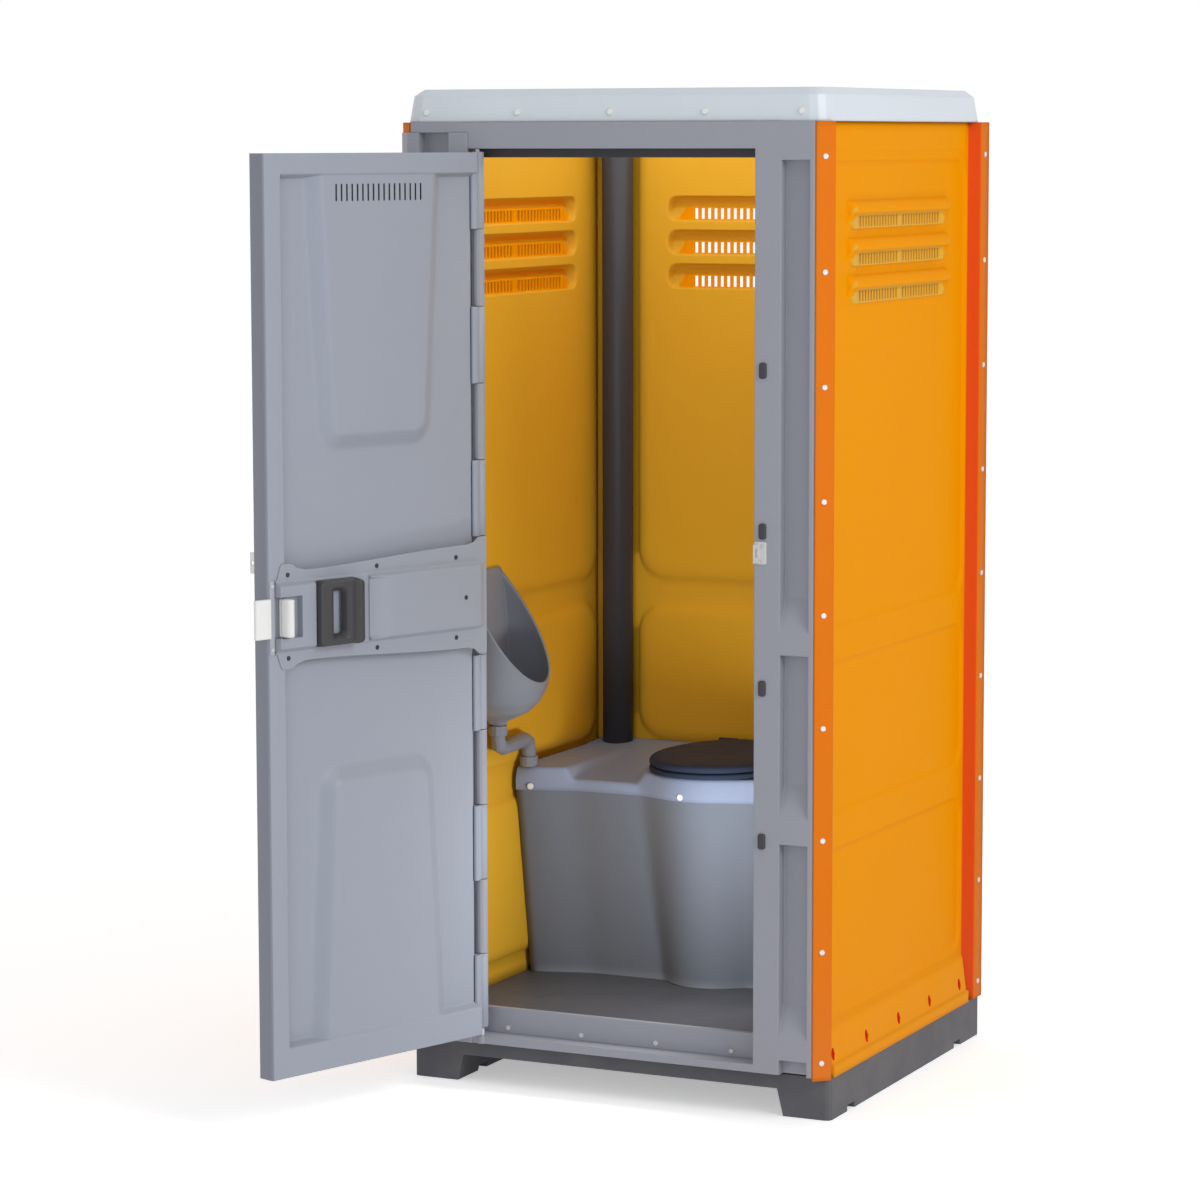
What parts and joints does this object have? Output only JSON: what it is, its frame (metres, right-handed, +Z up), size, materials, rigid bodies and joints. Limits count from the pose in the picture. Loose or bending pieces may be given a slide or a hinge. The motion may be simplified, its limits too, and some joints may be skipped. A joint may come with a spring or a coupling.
{
  "type": "portable toilet cabin",
  "caption": "Free-standing moulded toilet cabin on a pallet base: twin-skin walls with louvres, slide-latched door, tank with seat and lid, wall urinal and vent pipe.",
  "frame": {"origin": "on the ground at the centre of the cabin footprint", "axes": "+Z up, -Y towards the door side, +X to the right seen from the door side"},
  "size_m": [1.0993, 1.6966, 2.293],
  "materials": {
    "orange_plastic": "satin, moulded",
    "orange_liner": "satin, moulded",
    "grey_plastic": "satin, moulded",
    "tank_plastic": "satin, moulded",
    "dark_plastic": "dull",
    "black_plastic": "satin black",
    "white_plastic": "satin white",
    "roof_plastic": "milky, light passes through",
    "bright_steel": "zinc plated",
    "dark_screw": "dull dark",
    "rivet_aluminium": "bright",
    "floor_tread": "tread pattern"
  },
  "bodies": {
    "cabin": {"base_pallet": "dark_plastic", "floor_plate": "floor_tread", "right_wall_outer": "orange_plastic", "left_wall_outer": "orange_plastic", "back_wall_outer": "orange_plastic", "right_wall_liner": "orange_liner", "left_wall_liner": "orange_liner", "back_wall_liner": "orange_liner", "door_frame": "grey_plastic", "hinge_post": "grey_plastic", "header_stop": "dark_plastic", "sill_plate": "grey_plastic", "sill_screws": "bright_steel", "hinge_rod": "bright_steel", "padlock_staple": "bright_steel", "staple_screws": "bright_steel", "jamb_buffers": "dark_plastic", "roof_tray": "roof_plastic", "roof_rosettes": "white_plastic", "wall_rivets": "rivet_aluminium", "tank_body": "tank_plastic", "tank_deck": "tank_plastic", "tank_screws": "white_plastic", "seat": "black_plastic", "seat_hinge": "black_plastic", "urinal": "tank_plastic", "drain_pipe": "tank_plastic", "drain_collars": "tank_plastic", "vent_pipe": "black_plastic"},
    "door": {"door_leaf": "grey_plastic", "latch_cover": "grey_plastic", "latch_screws": "dark_screw", "edge_faceplate": "bright_steel", "faceplate_screws": "bright_steel", "hasp": "white_plastic"},
    "latch": {"latch_slide": "black_plastic", "latch_bolt": "white_plastic"},
    "lid": {"seat_lid": "black_plastic"}
  },
  "joints": [
    {"name": "door_swing", "type": "hinge", "parent": "cabin", "child": "door", "pos_m": [-0.3275, -0.4994, 0], "axis": [0, 0, 1], "range_deg": [-20.87, 109.13]},
    {"name": "latch_slide", "type": "slide", "parent": "door", "child": "latch", "axis": [0.3277, 0.9448, 0], "range_m": [0, 0.036]},
    {"name": "lid_lift", "type": "hinge", "parent": "cabin", "child": "lid", "pos_m": [-0.008, 0.399, 0.699], "axis": [-1, 0, 0], "range_deg": [0, 93]}
  ]
}
